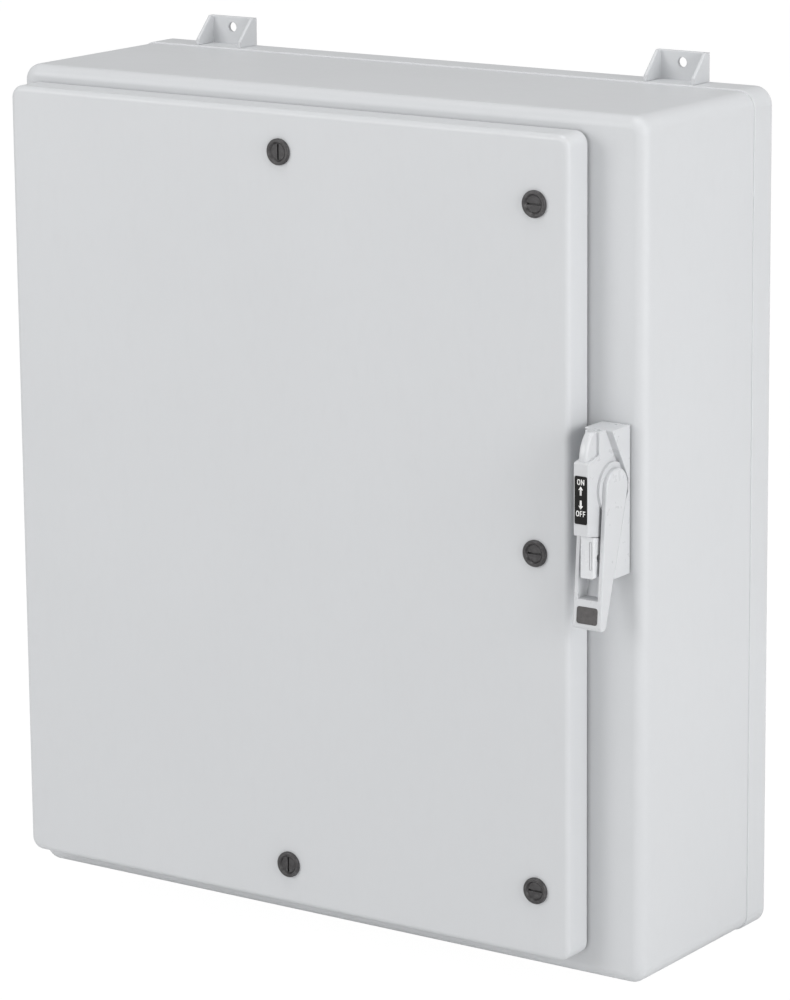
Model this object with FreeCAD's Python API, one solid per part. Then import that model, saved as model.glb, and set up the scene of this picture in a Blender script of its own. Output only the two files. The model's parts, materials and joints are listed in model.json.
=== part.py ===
import FreeCAD, Part
import math
import os

# Flange-mounted disconnect switch in a moulded wall enclosure.
# Millimetres. X runs to the right seen from the front, Y runs back to the wall, Z runs up.
# The origin is the centre of the four wall-bolt holes, on the wall plane Y = 0.

# ---------------------------------------------------------------- driving dimensions
WIDTH = 803.0            # over the back rim
HEIGHT = 914.4           # over the back rim, 36 in
DEPTH = 250.0            # wall plane to front flange
WALL = 5.0               # moulded shell
RIM_STEP = 1.5           # back rim stands out from the sides by this much
RIM_DEPTH = 35.0
BODY_CORNER = 18.0       # corner radius seen from the front
FRONT_ROUND = 12.5       # rounding of the front edges

DOOR_LEFT = -386.0
DOOR_RIGHT = 334.0
DOOR_BOTTOM = -431.0
DOOR_TOP = 437.6
DOOR_DEPTH = 35.0        # skirt, front to back
DOOR_GAP = 3.0           # skirt to flange
HINGE_SIDE_RELIEF = 5.0  # the skirt is this much shorter on the hinge side, to swing past the lip
DOOR_WALL = 4.5
DOOR_FRONT_WALL = 5.0
DOOR_CORNER = 14.0
DOOR_ROUND = 6.0

LIP_INSET = 18.0         # lip outside face to door edge, all sides but the hinge side
HINGE_INSET = 30.0       # the same on the hinge side, where the skirt swings in
LIP_WALL = 4.0
LIP_HEIGHT = 24.0
LIP_CORNER = 16.0
GASKET_WIDTH = 10.0
GASKET_CLEARANCE = 0.3

HINGE_X = -375.5
HINGE_Y = -270.0
HINGE_LENGTH = 70.0
HINGE_LEVELS = (-330.0, 3.0, 336.0)
HINGE_BARREL = 5.0
HINGE_PIN = 2.5
HINGE_LEAF = 2.2         # leaf thickness on the door
RUNNING = 0.05           # radial clearance of every turning fit

LATCH_FACE = 14.2        # bezel radius
LATCH_DISC = 9.0         # slotted disc radius
LATCH_STEM = 6.0
LATCH_SLEEVE = 9.6
LATCH_PROUD = 3.6
CAM_REACH = 36.0
CAM_WIDTH = 16.0
CAM_THICKNESS = 4.5
CAM_CLEARANCE = 0.5
CAM_SPIGOT = 4.0         # the stem's end, riveted over the cam
LATCH_SIDE_X = 293.5
LATCH_CENTRE_X = -24.5
LATCH_END_RISE = 389.5   # top and bottom latches, from the door centre
LATCH_SIDE_RISE = 361.8  # upper and lower side latches, from the door centre

FOOT_X = 295.0
FOOT_WIDTH = 62.0
FOOT_RISE = 31.0
FOOT_HOLE = 5.5          # radius
FOOT_HOLE_RISE = 19.0
FOOT_TONGUE = 48.0
FOOT_PLATE = 4.0
FOOT_DEPTH = 31.0
FOOT_CLEARANCE = 0.15

PANEL_WIDTH = 700.0
PANEL_HEIGHT = 810.0
PANEL_FRONT = -30.0
PANEL_THICKNESS = 2.5
STUD_X = 330.0
STUD_Z = 385.0
STUD_RADIUS = 4.0

HANDLE_X = (DOOR_RIGHT + WIDTH / 2) / 2
PIVOT_PROUD = 26.0
PIVOT_Z = 81.0
LEVER_HALF = 17.0
LEVER_ARM = 4.9
LEVER_HUB = 20.5
TIP_Z = -63.8            # lowest point of the lever
TIP_PROUD = 58.0
TIP_BACK = 47.5
TIP_ROUND = 5.0
LEVER_BEND = (50.4, 33.0)  # where the front of the lever meets the line round the hub
SHAFT_RADIUS = 5.0
HANDLE_WIRE = 18.6       # wire centre from the lever's axis
LEVER_THROW = 130.0      # degrees, off to on
BLADE_THROW = 90.0       # degrees, off to on
HOUSING_HALF = 16.5
HOUSING_TOP = 141.8
BLOCK_HALF = 8.8
BLOCK_PROUD = 68.5       # front of the block that carries the legend
NOSE_HALF = 5.1
BOSS_HALF = 11.9         # round bosses beside the lever hubs
BOSS_RADIUS = 26.5
PAD = 1.5                # rubber pad under the housing
SLIDE_HALF = 8.8
SLIDE_PROUD = 58.3
PADLOCK_PROUD = 48.6     # padlock hole, in front of the flange when the slide is home

SWITCH_X = -10.0
POLE_PITCH = 62.0
BLADE_Y = -85.0
BLADE_Z = -60.0
BLADE_LENGTH = 105.0
BLADE_THICKNESS = 3.0
JAW_GAP = 3.2
CROSSBAR_RADIUS = 60.0
CROSSBAR_ROUND = 9.0
SWITCH_WIRE = HANDLE_WIRE * LEVER_THROW / BLADE_THROW
WIRE = 1.0
SHEATH = 3.0             # outside radius
SHEATH_TURNS = (130.0, 170.0)  # radius of the level bend of each sheath

GROUND_WIRES = (-260.0, -240.0, -220.0)

BOLT_Z = 120.0
BOLT_Y = -232.0
BOLT_RADIUS = 4.0
BOLT_TIP = 314.0
CATCH_X = 303.0
CATCH_FOOT = 2.5

FLANGE = -DEPTH
FLANGE_BACK = FLANGE + WALL
DOOR_FRONT = FLANGE - DOOR_GAP - DOOR_DEPTH
DOOR_INNER = DOOR_FRONT + DOOR_FRONT_WALL
DOOR_CENTRE_Z = (DOOR_BOTTOM + DOOR_TOP) / 2
LIP_FRONT = FLANGE - LIP_HEIGHT
LIP_BOX = (DOOR_LEFT + HINGE_INSET, DOOR_RIGHT - LIP_INSET, DOOR_BOTTOM + LIP_INSET, DOOR_TOP - LIP_INSET)
PIVOT_Y = FLANGE - PIVOT_PROUD
CAM_FRONT = FLANGE_BACK + CAM_CLEARANCE

SIDE_X = FreeCAD.Vector(1, 0, 0)
BACK_Y = FreeCAD.Vector(0, 1, 0)
UP_Z = FreeCAD.Vector(0, 0, 1)


# ---------------------------------------------------------------- shape helpers
def block(x0, x1, y0, y1, z0, z1):
    """A box from its lowest to its highest corner."""
    corner = FreeCAD.Vector(x0, y0, z0)
    return Part.makeBox(x1 - x0, y1 - y0, z1 - z0, corner)


def rod_x(radius, x0, x1, y, z):
    return Part.makeCylinder(radius, x1 - x0, FreeCAD.Vector(x0, y, z), SIDE_X)


def rod_y(radius, y0, y1, x, z):
    return Part.makeCylinder(radius, y1 - y0, FreeCAD.Vector(x, y0, z), BACK_Y)


def rod_z(radius, z0, z1, x, y):
    return Part.makeCylinder(radius, z1 - z0, FreeCAD.Vector(x, y, z0), UP_Z)


def disc(radius, centre, facing):
    return Part.Face(Part.Wire(Part.makeCircle(radius, centre, facing)))


def face_of(points):
    """A flat face from a list of corner points."""
    return Part.Face(Part.makePolygon([FreeCAD.Vector(*p) for p in points + points[:1]]))


def side_prism(profile, x0, x1):
    """A (y, z) outline carried from x0 to x1."""
    return face_of([(x0, y, z) for y, z in profile]).extrude(FreeCAD.Vector(x1 - x0, 0, 0))


def front_prism(profile, y0, y1):
    """An (x, z) outline carried from y0 to y1."""
    return face_of([(x, y0, z) for x, z in profile]).extrude(FreeCAD.Vector(0, y1 - y0, 0))


def hexagon(across_flats, y0, y1, x, z):
    radius = across_flats / math.sqrt(3)
    corners = [math.radians(60 * k) for k in range(6)]
    return front_prism([(x + radius * math.cos(a), z + radius * math.sin(a)) for a in corners], y0, y1)


def round_edges(shape, radius, wanted):
    """Fillet every edge that wanted(edge) accepts."""
    return shape.makeFillet(radius, [edge for edge in shape.Edges if wanted(edge)])


def runs_along(axis):
    """True for straight edges parallel to an axis."""
    def wanted(edge):
        if edge.Curve.TypeId != "Part::GeomLine":
            return False
        return abs(edge.Curve.Direction.dot(axis)) > 0.999
    return wanted


def lies_at_y(y):
    """True for edges that lie wholly in the plane Y = y."""
    def wanted(edge):
        box = edge.BoundBox
        return abs(box.YMin - y) < 1e-4 and abs(box.YMax - y) < 1e-4
    return wanted


def lies_at_x(x):
    """True for edges that lie wholly in the plane X = x."""
    def wanted(edge):
        box = edge.BoundBox
        return abs(box.XMin - x) < 1e-4 and abs(box.XMax - x) < 1e-4
    return wanted


def in_front_of(y):
    """True for edges that lie wholly in front of the plane Y = y."""
    def wanted(edge):
        return edge.BoundBox.YMax < y - 0.1
    return wanted


def crosses_below(z):
    """True for edges that run across the part, below a height."""
    def wanted(edge):
        return edge.BoundBox.XLength > 1.0 and edge.BoundBox.ZMax < z
    return wanted


def upright_at(x, y):
    """True for the upright edge at a given x and y."""
    def wanted(edge):
        box = edge.BoundBox
        corners = (box.XMin - x, box.XMax - x, box.YMin - y, box.YMax - y)
        return max(abs(gap) for gap in corners) < 1e-3
    return wanted


def two_round_edges(x0, x1, y0, y1, z0, z1, left, right):
    """A block whose two front upright edges have their own roundings."""
    shape = round_edges(block(x0, x1, y0, y1, z0, z1), left, upright_at(x0, y0))
    return round_edges(shape, right, upright_at(x1, y0))


def slab(x0, x1, z0, z1, y0, y1, corner):
    """A plate seen from the front as a rounded rectangle."""
    return round_edges(block(x0, x1, y0, y1, z0, z1), corner, runs_along(BACK_Y))


def joined(shapes):
    """One solid from touching or overlapping shapes."""
    return shapes[0].multiFuse(shapes[1:]).removeSplitter()


def without(shape, tools):
    return shape.cut(Part.makeCompound(tools)) if tools else shape


def save(name, shapes):
    """Write one named piece, or one group of separate identical pieces."""
    solids = [solid for shape in shapes for solid in shape.Solids]
    shape = solids[0] if len(solids) == 1 else Part.makeCompound(solids)
    shape.exportStep(os.path.join("parts", name + ".step"))


def screw(x, y_head, z, radius, length, head_radius, head_height, into=1):
    """A slotless pan-head screw along Y; into = 1 drives it towards the wall, -1 towards the front."""
    y_tip = y_head + into * length
    shank = rod_y(radius, min(y_head, y_tip), max(y_head, y_tip), x, z)
    y_top = y_head - into * head_height
    head = rod_y(head_radius, min(y_head, y_top), max(y_head, y_top), x, z)
    head = round_edges(head, head_height * 0.45, lies_at_y(y_top))
    slot = block(x - head_radius, x + head_radius, y_top - 1.0, y_top + 1.0, z - 0.6, z + 0.6)
    return joined([shank, head]).cut(slot)


# ---------------------------------------------------------------- enclosure
def lip_ring(y0, y1, outset, inset, corner):
    """A ring that follows the sealing lip; outset and inset are measured from its outside face."""
    x0, x1, z0, z1 = LIP_BOX
    outer = slab(x0 - outset, x1 + outset, z0 - outset, z1 + outset, y0, y1, corner + outset)
    inner = slab(x0 + inset, x1 - inset, z0 + inset, z1 - inset, y0 - 1, y1 + 1, corner - inset)
    return outer.cut(inner)


def foot_positions():
    return [(sx * FOOT_X, sz) for sz in (1, -1) for sx in (-1, 1)]


def foot_screw_points(x, side):
    edge = side * HEIGHT / 2
    return [(x - 19.0, edge - side * 26.0), (x + 19.0, edge - side * 26.0)]


def shell_outside():
    half_w = WIDTH / 2 - RIM_STEP
    half_h = HEIGHT / 2 - RIM_STEP
    main = slab(-half_w, half_w, -half_h, half_h, FLANGE, 0, BODY_CORNER)
    main = round_edges(main, FRONT_ROUND, lies_at_y(FLANGE))
    rim = slab(-WIDTH / 2, WIDTH / 2, -HEIGHT / 2, HEIGHT / 2, -RIM_DEPTH, 0, BODY_CORNER + RIM_STEP)
    rim = round_edges(rim, RIM_STEP * 0.9, lies_at_y(-RIM_DEPTH))
    return main.fuse(rim)


def shell_inside():
    half_w = WIDTH / 2 - RIM_STEP - WALL
    half_h = HEIGHT / 2 - RIM_STEP - WALL
    cavity = slab(-half_w, half_w, -half_h, half_h, FLANGE_BACK, -WALL, BODY_CORNER - WALL)
    return round_edges(cavity, FRONT_ROUND - WALL, lies_at_y(FLANGE_BACK))


def enclosure_body():
    x0, x1, z0, z1 = LIP_BOX
    inner = (x0 + LIP_WALL, x1 - LIP_WALL, z0 + LIP_WALL, z1 - LIP_WALL)
    shell = shell_outside().cut(shell_inside())
    opening = slab(*inner, FLANGE - 1, FLANGE_BACK + 1, LIP_CORNER - LIP_WALL)
    lip = lip_ring(LIP_FRONT, FLANGE + 1.0, 0.0, LIP_WALL, LIP_CORNER)
    lip = round_edges(lip, 1.2, lies_at_y(LIP_FRONT))
    bosses = [rod_y(13.0, PANEL_FRONT + PANEL_THICKNESS, -WALL + 1.0, sx * STUD_X, sz * STUD_Z)
              for sx in (-1, 1) for sz in (-1, 1)]
    pads = []
    cuts = []
    for x, side in foot_positions():
        edge = side * HEIGHT / 2
        z_far = edge - side * (FOOT_TONGUE + 6.0)
        z_in = edge - side * (WALL + 1.0)
        pads.append(block(x - 37, x + 37, -12.0, -WALL + 1.0, min(z_far, z_in), max(z_far, z_in)))
        z_end = edge - side * (FOOT_TONGUE + FOOT_CLEARANCE)
        z_out = edge + side * 1.0
        half = FOOT_WIDTH / 2 + FOOT_CLEARANCE
        cuts.append(block(x - half, x + half, -FOOT_PLATE, 1.0, min(z_end, z_out), max(z_end, z_out)))
        cuts += [rod_y(3.0, -11.0, 1.0, sx, sz) for sx, sz in foot_screw_points(x, side)]
    body = joined([shell, lip] + bosses + pads)
    cuts.append(opening)
    cuts += [rod_y(STUD_RADIUS, -40.0, -12.0, sx * STUD_X, sz * STUD_Z) for sx in (-1, 1) for sz in (-1, 1)]
    cuts.append(block(HANDLE_X - 6, HANDLE_X + 6, FLANGE - 1, FLANGE_BACK + 1, PIVOT_Z - 24, PIVOT_Z + 24))
    cuts += [rod_y(2.5, FLANGE - 1, FLANGE_BACK + 1, x, z) for x, z in housing_screw_points()]
    cuts += [rod_x(2.0, x0 - 1, x0 + LIP_WALL + 1, HINGE_Y + 8.0, z) for z in hinge_screw_levels()]
    cuts += [rod_y(2.0, FLANGE - 1, FLANGE_BACK + 1, x, z) for x, z in bolt_guide_screw_points()]
    return without(body, cuts)


def top_edge_off_the_wall(top):
    """True for edges that touch a foot's top and stay clear of the wall."""
    def wanted(edge):
        return edge.BoundBox.ZMax > top - 0.1 and edge.BoundBox.YMax < -0.5
    return wanted


def foot(x, side):
    """A moulded wall foot: tongue let into the back of the shell, ear with a bolt hole, two gussets."""
    edge = HEIGHT / 2
    half = FOOT_WIDTH / 2
    top = edge + FOOT_RISE
    plate = block(-half, half, -FOOT_PLATE, 0, edge - FOOT_TONGUE, top)
    profile = [(0, edge + FOOT_CLEARANCE), (-FOOT_DEPTH, edge + FOOT_CLEARANCE), (-FOOT_DEPTH, edge + 7.0),
               (-8.0, top), (0, top)]
    gussets = [side_prism(profile, x0, x0 + FOOT_PLATE) for x0 in (-half, half - FOOT_PLATE)]
    ear = joined([plate] + gussets)
    ear = round_edges(ear, 1.2, top_edge_off_the_wall(top))
    cuts = [rod_y(FOOT_HOLE, -FOOT_PLATE - 1, 1, 0, edge + FOOT_HOLE_RISE)]
    cuts += [rod_y(3.0, -FOOT_PLATE - 1, 1, sx, sz) for sx, sz in foot_screw_points(0, 1)]
    cuts += [rod_y(5.2, -2.6, 1, sx, sz) for sx, sz in foot_screw_points(0, 1)]
    ear = without(ear, cuts)
    if side < 0:
        ear = ear.mirror(FreeCAD.Vector(0, 0, 0), UP_Z)
    ear.translate(FreeCAD.Vector(x, 0, 0))
    return ear


def foot_screws():
    points = [point for x, side in foot_positions() for point in foot_screw_points(x, side)]
    screws = []
    for x, z in points:
        head = rod_y(5.0, -2.6, -0.4, x, z)
        shank = rod_y(3.0, -11.0, -2.6, x, z)
        slot = block(x - 5.0, x + 5.0, -1.4, 0.5, z - 0.6, z + 0.6)
        screws.append(joined([head, shank]).cut(slot))
    return screws


# ---------------------------------------------------------------- door and hinges
def door_shell():
    outer = slab(DOOR_LEFT, DOOR_RIGHT, DOOR_BOTTOM, DOOR_TOP, DOOR_FRONT, FLANGE - DOOR_GAP, DOOR_CORNER)
    outer = round_edges(outer, DOOR_ROUND, lies_at_y(DOOR_FRONT))
    hollow = slab(DOOR_LEFT + DOOR_WALL, DOOR_RIGHT - DOOR_WALL, DOOR_BOTTOM + DOOR_WALL,
                  DOOR_TOP - DOOR_WALL, DOOR_INNER, FLANGE, DOOR_CORNER - DOOR_WALL)
    hollow = round_edges(hollow, 2.0, lies_at_y(DOOR_INNER))
    relief_y = FLANGE - DOOR_GAP - HINGE_SIDE_RELIEF
    relief = block(DOOR_LEFT - 1, DOOR_LEFT + 12, relief_y, FLANGE, DOOR_BOTTOM - 1, DOOR_TOP + 1)
    cuts = [hollow, relief]
    cuts += [rod_y(LATCH_SLEEVE, DOOR_FRONT - 1, DOOR_INNER + 1, x, z) for _, x, z, _ in latch_places()]
    cuts += [rod_y(2.0, DOOR_FRONT + 1.5, DOOR_INNER + 1, x, z) for x, z in hinge_door_screw_points()]
    cuts += [rod_y(2.0, DOOR_FRONT + 1.5, DOOR_INNER + 1, x, z) for x, z in catch_screw_points()]
    return without(outer, cuts)


def door_gasket():
    middle = LIP_WALL / 2
    half = GASKET_WIDTH / 2
    return lip_ring(DOOR_INNER, LIP_FRONT - GASKET_CLEARANCE, half - middle, half + middle, LIP_CORNER)


def knuckle_spans(z):
    """Body, door and body knuckles of one hinge, bottom to top."""
    z0 = z - HINGE_LENGTH / 2
    third = HINGE_LENGTH / 3
    gap = 0.25
    return [(z0, z0 + third - gap), (z0 + third, z0 + 2 * third), (z0 + 2 * third + gap, z0 + HINGE_LENGTH)]


def hinge_screw_levels():
    return [z + dz for z in HINGE_LEVELS for dz in (-24.0, 0.0, 24.0)]


def hinge_door_screw_points():
    return [(HINGE_X + 1.0, z + dz) for z in HINGE_LEVELS for dz in (-28.0, 28.0)]


def hinge_body_leaf(z):
    wall = LIP_BOX[0]
    leaf = block(wall - 2.5, wall, HINGE_Y - 1.5, FLANGE, z - HINGE_LENGTH / 2, z + HINGE_LENGTH / 2)
    low, _, high = knuckle_spans(z)
    parts = [leaf]
    for z0, z1 in (low, high):
        parts.append(rod_z(HINGE_BARREL, z0, z1, HINGE_X, HINGE_Y))
        parts.append(block(HINGE_X, wall - 1.0, HINGE_Y - 1.5, HINGE_Y + 1.0, z0, z1))
    bore = rod_z(HINGE_PIN, z - HINGE_LENGTH, z + HINGE_LENGTH, HINGE_X, HINGE_Y)
    holes = [rod_x(2.0, wall - 4, wall + 1, HINGE_Y + 8.0, z + dz) for dz in (-24.0, 0.0, 24.0)]
    return without(joined(parts), [bore] + holes)


def hinge_door_leaf(z):
    _, (z0, z1), _ = knuckle_spans(z)
    leaf = block(HINGE_X - 3.8, HINGE_X + 7.2, DOOR_INNER, DOOR_INNER + HINGE_LEAF, z - 35.0, z + 35.0)
    web = block(HINGE_X - 1.5, HINGE_X + 1.5, DOOR_INNER + 1.0, HINGE_Y, z0, z1)
    barrel = rod_z(HINGE_BARREL, z0, z1, HINGE_X, HINGE_Y)
    bore = rod_z(HINGE_PIN + RUNNING, z - HINGE_LENGTH, z + HINGE_LENGTH, HINGE_X, HINGE_Y)
    holes = [rod_y(2.0, DOOR_INNER - 1, DOOR_INNER + 3, HINGE_X + 1.0, z + dz) for dz in (-28.0, 28.0)]
    return without(joined([leaf, web, barrel]), [bore] + holes)


def hinge_pins():
    half = HINGE_LENGTH / 2
    return [rod_z(HINGE_PIN, z - half, z + half, HINGE_X, HINGE_Y) for z in HINGE_LEVELS]


def hinge_body_screws():
    """Low screws through the lip from inside the opening into the tapped hinge leaves."""
    x0 = LIP_BOX[0]
    screws = []
    for z in hinge_screw_levels():
        shank = rod_x(2.0, x0 - 2.5, x0 + LIP_WALL, HINGE_Y + 8.0, z)
        head = rod_x(3.6, x0 + LIP_WALL, x0 + LIP_WALL + 2.2, HINGE_Y + 8.0, z)
        screws.append(joined([shank, head]))
    return screws


def door_screws(points, seat):
    return [screw(x, seat, z, 2.0, seat - DOOR_FRONT - 1.5, 3.4, 1.9, into=-1) for x, z in points]


# ---------------------------------------------------------------- quarter-turn latches
def latch_places():
    """Name, x, z and outward direction of each latch, seen from the front."""
    return [
        ("upper_right", LATCH_SIDE_X, DOOR_CENTRE_Z + LATCH_SIDE_RISE, (1, 0)),
        ("middle_right", LATCH_SIDE_X, DOOR_CENTRE_Z, (1, 0)),
        ("lower_right", LATCH_SIDE_X, DOOR_CENTRE_Z - LATCH_SIDE_RISE, (1, 0)),
        ("top", LATCH_CENTRE_X, DOOR_CENTRE_Z + LATCH_END_RISE, (0, 1)),
        ("bottom", LATCH_CENTRE_X, DOOR_CENTRE_Z - LATCH_END_RISE, (0, -1)),
    ]


def latch_bezel(x, z):
    """Round face with a shallow dish, on a threaded sleeve through the door."""
    face = rod_y(LATCH_FACE, DOOR_FRONT - LATCH_PROUD, DOOR_FRONT, x, z)
    face = round_edges(face, 1.8, lies_at_y(DOOR_FRONT - LATCH_PROUD))
    sleeve = rod_y(LATCH_SLEEVE, DOOR_FRONT, -258.0, x, z)
    dish = Part.makeCone(LATCH_DISC + 1.8, LATCH_DISC + RUNNING, 2.2,
                         FreeCAD.Vector(x, DOOR_FRONT - LATCH_PROUD, z), BACK_Y)
    seat = rod_y(LATCH_DISC + RUNNING, DOOR_FRONT - 2.0, DOOR_FRONT + 2.0, x, z)
    bore = rod_y(LATCH_STEM + RUNNING, DOOR_FRONT, -257.0, x, z)
    return without(joined([face, sleeve]), [dish, seat, bore])


def latch_nut(x, z):
    nut = hexagon(24.0, DOOR_INNER, DOOR_INNER + 5.0, x, z)
    return nut.cut(rod_y(LATCH_SLEEVE, DOOR_INNER - 1, DOOR_INNER + 6, x, z))


def latch_core(x, z, outward):
    """Slotted disc and stem, riveted over the cam; the slot points to the door edge at rest."""
    dx, dz = outward
    disc = rod_y(LATCH_DISC, DOOR_FRONT - 1.6, DOOR_FRONT + 1.9, x, z)
    disc = round_edges(disc, 0.5, lies_at_y(DOOR_FRONT - 1.6))
    stem = rod_y(LATCH_STEM, DOOR_FRONT + 1.9, CAM_FRONT, x, z)
    cam_back = CAM_FRONT + CAM_THICKNESS
    spigot = rod_y(CAM_SPIGOT, CAM_FRONT, cam_back, x, z)
    rivet = round_edges(rod_y(6.5, cam_back, cam_back + 2.0, x, z), 1.5, lies_at_y(cam_back + 2.0))
    half_x = 8.4 if dx else 1.1
    half_z = 8.4 if dz else 1.1
    slot = block(x - half_x, x + half_x, DOOR_FRONT - 2.0, DOOR_FRONT + 1.0, z - half_z, z + half_z)
    return joined([disc, stem, spigot, rivet]).cut(slot)


def latch_cam(x, z, outward):
    """Flat cam, parked along the door edge at rest; a clockwise quarter turn points it outward."""
    dx, dz = outward
    rest_x, rest_z = -dz, dx
    reach = CAM_REACH - CAM_WIDTH / 2
    arm = slab(-CAM_WIDTH / 2, reach + CAM_WIDTH / 2, -CAM_WIDTH / 2, CAM_WIDTH / 2,
               CAM_FRONT, CAM_FRONT + CAM_THICKNESS, CAM_WIDTH / 2 - 0.5)
    turn = math.degrees(math.atan2(rest_z, rest_x))
    arm.rotate(FreeCAD.Vector(0, 0, 0), BACK_Y, -turn)
    arm.translate(FreeCAD.Vector(x, 0, z))
    return arm.cut(rod_y(CAM_SPIGOT, CAM_FRONT - 1, CAM_FRONT + CAM_THICKNESS + 1, x, z))


# ---------------------------------------------------------------- handle and housing
def proud(points):
    """(distance in front of the flange, z) pairs as (y, z) pairs."""
    return [(FLANGE - p, z) for p, z in points]


def housing_screw_points():
    return [(HANDLE_X + sx * 11.5, z) for sx in (-1, 1) for z in (-6.0, 133.0)]


def handle_gasket():
    pad = slab(HANDLE_X - 15.0, HANDLE_X + 15.0, -11.5, 140.0, FLANGE - PAD, FLANGE, 2.0)
    cuts = [block(HANDLE_X - 6, HANDLE_X + 6, FLANGE - 3, FLANGE + 1, PIVOT_Z - 24, PIVOT_Z + 24)]
    cuts += [rod_y(2.5, FLANGE - 3, FLANGE + 1, x, z) for x, z in housing_screw_points()]
    return without(pad, cuts)


def rounded_nose(x0, x1):
    """Quarter-round hump above the legend block."""
    outline = proud([(20, 111), (66.2, 111), (66.2, 113), (63.0, 130),
                     (54.0, HOUSING_TOP), (20, HOUSING_TOP)])
    corners = [FreeCAD.Vector(x0, y, z) for y, z in outline]
    back_low, front_low, arc_start, arc_middle, arc_end, back_top = corners
    edges = [
        Part.makeLine(back_low, front_low),
        Part.makeLine(front_low, arc_start),
        Part.Arc(arc_start, arc_middle, arc_end).toShape(),
        Part.makeLine(arc_end, back_top),
        Part.makeLine(back_top, back_low),
    ]
    nose = Part.Face(Part.Wire(edges)).extrude(FreeCAD.Vector(x1 - x0, 0, 0))
    return round_edges(nose, 3.4, on_front_outline)


def on_front_outline(edge):
    """True for the side edges of the nose that a hand would touch."""
    return edge.BoundBox.XLength < 0.1 and edge.BoundBox.YMin < FLANGE - 62


def housing_base():
    """Side plates that clear the back of the lever below and rise to a shoulder above."""
    profile = proud([(PAD, -13), (32.0, -13), (8.8, 65), (4.2, 72),
                     (4.2, 87), (35.6, HOUSING_TOP), (PAD, HOUSING_TOP)])
    base = side_prism(profile, HANDLE_X - HOUSING_HALF, HANDLE_X + HOUSING_HALF)
    base = round_edges(base, 0.8, in_front_of(FLANGE - PAD))
    slide_room = block(HANDLE_X - 9.4, HANDLE_X + 9.4, FLANGE - 40, FLANGE - 27, -14, 37)
    return base.cut(slide_room)


def housing_centre():
    """Middle block: a step for the padlock slide below, the legend block in front, the nose above."""
    profile = proud([(PAD, -10), (27, -10), (27, 26), (47, 32.5), (BLOCK_PROUD, 37.2),
                     (BLOCK_PROUD, 112.5), (47.3, 117.5),
                     (47.3, HOUSING_TOP), (PAD, HOUSING_TOP)])
    centre = side_prism(profile, HANDLE_X - BLOCK_HALF, HANDLE_X + BLOCK_HALF)
    return round_edges(centre, 1.1, in_front_of(FLANGE - 28.0))


def lever_bosses():
    """Round bosses on both sides of the middle block that the lever hubs turn against."""
    ring = rod_x(BOSS_RADIUS, HANDLE_X - BOSS_HALF, HANDLE_X + BOSS_HALF, PIVOT_Y, PIVOT_Z)
    behind = block(HANDLE_X - 20, HANDLE_X + 20, FLANGE - PAD, FLANGE + 10, PIVOT_Z - 40, PIVOT_Z + 40)
    return ring.cut(behind)


def handle_housing():
    """Side plates, middle block, bosses and nose in one moulding, hollow where the drum turns."""
    x = HANDLE_X
    nose = rounded_nose(x - NOSE_HALF, x + NOSE_HALF)
    solid = joined([housing_base(), housing_centre(), nose, lever_bosses()])
    drum_room = rod_x(21.0, x - 6.0, x + 6.0, PIVOT_Y, PIVOT_Z)
    wire_room = block(x - 6.0, x + 6.0, PIVOT_Y, FLANGE, PIVOT_Z - 21.0, PIVOT_Z + 21.0)
    bore = rod_x(SHAFT_RADIUS + RUNNING, x - 30, x + 30, PIVOT_Y, PIVOT_Z)
    tongue = block(x - 4.6, x + 4.6, FLANGE - 30.0, FLANGE - 10.0, 2.0, 20.0)
    recess = slab(x - 7.4, x + 7.4, 49.5, 99.2, FLANGE - BLOCK_PROUD - 1, FLANGE - BLOCK_PROUD + 0.4, 2.0)
    threads = [rod_y(2.5, FLANGE - 8.0, FLANGE, sx, sz) for sx, sz in housing_screw_points()]
    return without(solid, [drum_room, wire_room, bore, tongue, recess] + threads)


def housing_screws():
    return [screw(x, FLANGE_BACK, z, 2.5, WALL + 8.0, 4.6, 3.0, into=-1) for x, z in housing_screw_points()]


def legend_plate():
    front = FLANGE - BLOCK_PROUD - 0.4
    return slab(HANDLE_X - 7.3, HANDLE_X + 7.3, 49.6, 99.1, front, front + 0.8, 1.9)


def tangent_point(centre, radius, point, side):
    """Where the line from a point outside a circle touches it; side picks one of the two."""
    dx = point[0] - centre[0]
    dz = point[1] - centre[1]
    angle = math.atan2(dz, dx) + side * math.acos(radius / math.hypot(dx, dz))
    return (centre[0] + radius * math.cos(angle), centre[1] + radius * math.sin(angle))


def lever_front(z):
    """How far the sloping front of the lever stands in front of the flange at a height."""
    bend_proud, bend_z = LEVER_BEND
    return bend_proud + (bend_z - z) * (TIP_PROUD - bend_proud) / (bend_z - TIP_Z)


def lever_arm(x0, outside):
    """One tapered arm with its round hub, rounded on the outside face."""
    pivot = (PIVOT_PROUD, PIVOT_Z)
    tip_front = (TIP_PROUD, TIP_Z)
    tip_back = (TIP_BACK, TIP_Z)
    hub_back = tangent_point(pivot, LEVER_HUB, tip_back, -1)
    hub_front = tangent_point(pivot, LEVER_HUB, LEVER_BEND, 1)
    blade = side_prism(proud([LEVER_BEND, tip_front, tip_back, hub_back, hub_front]), x0, x0 + LEVER_ARM)
    blade = round_edges(blade, TIP_ROUND, crosses_below(TIP_Z + 1))
    hub = rod_x(LEVER_HUB, x0, x0 + LEVER_ARM, PIVOT_Y, PIVOT_Z)
    return round_edges(joined([blade, hub]), 1.8, lies_at_x(outside))


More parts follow.
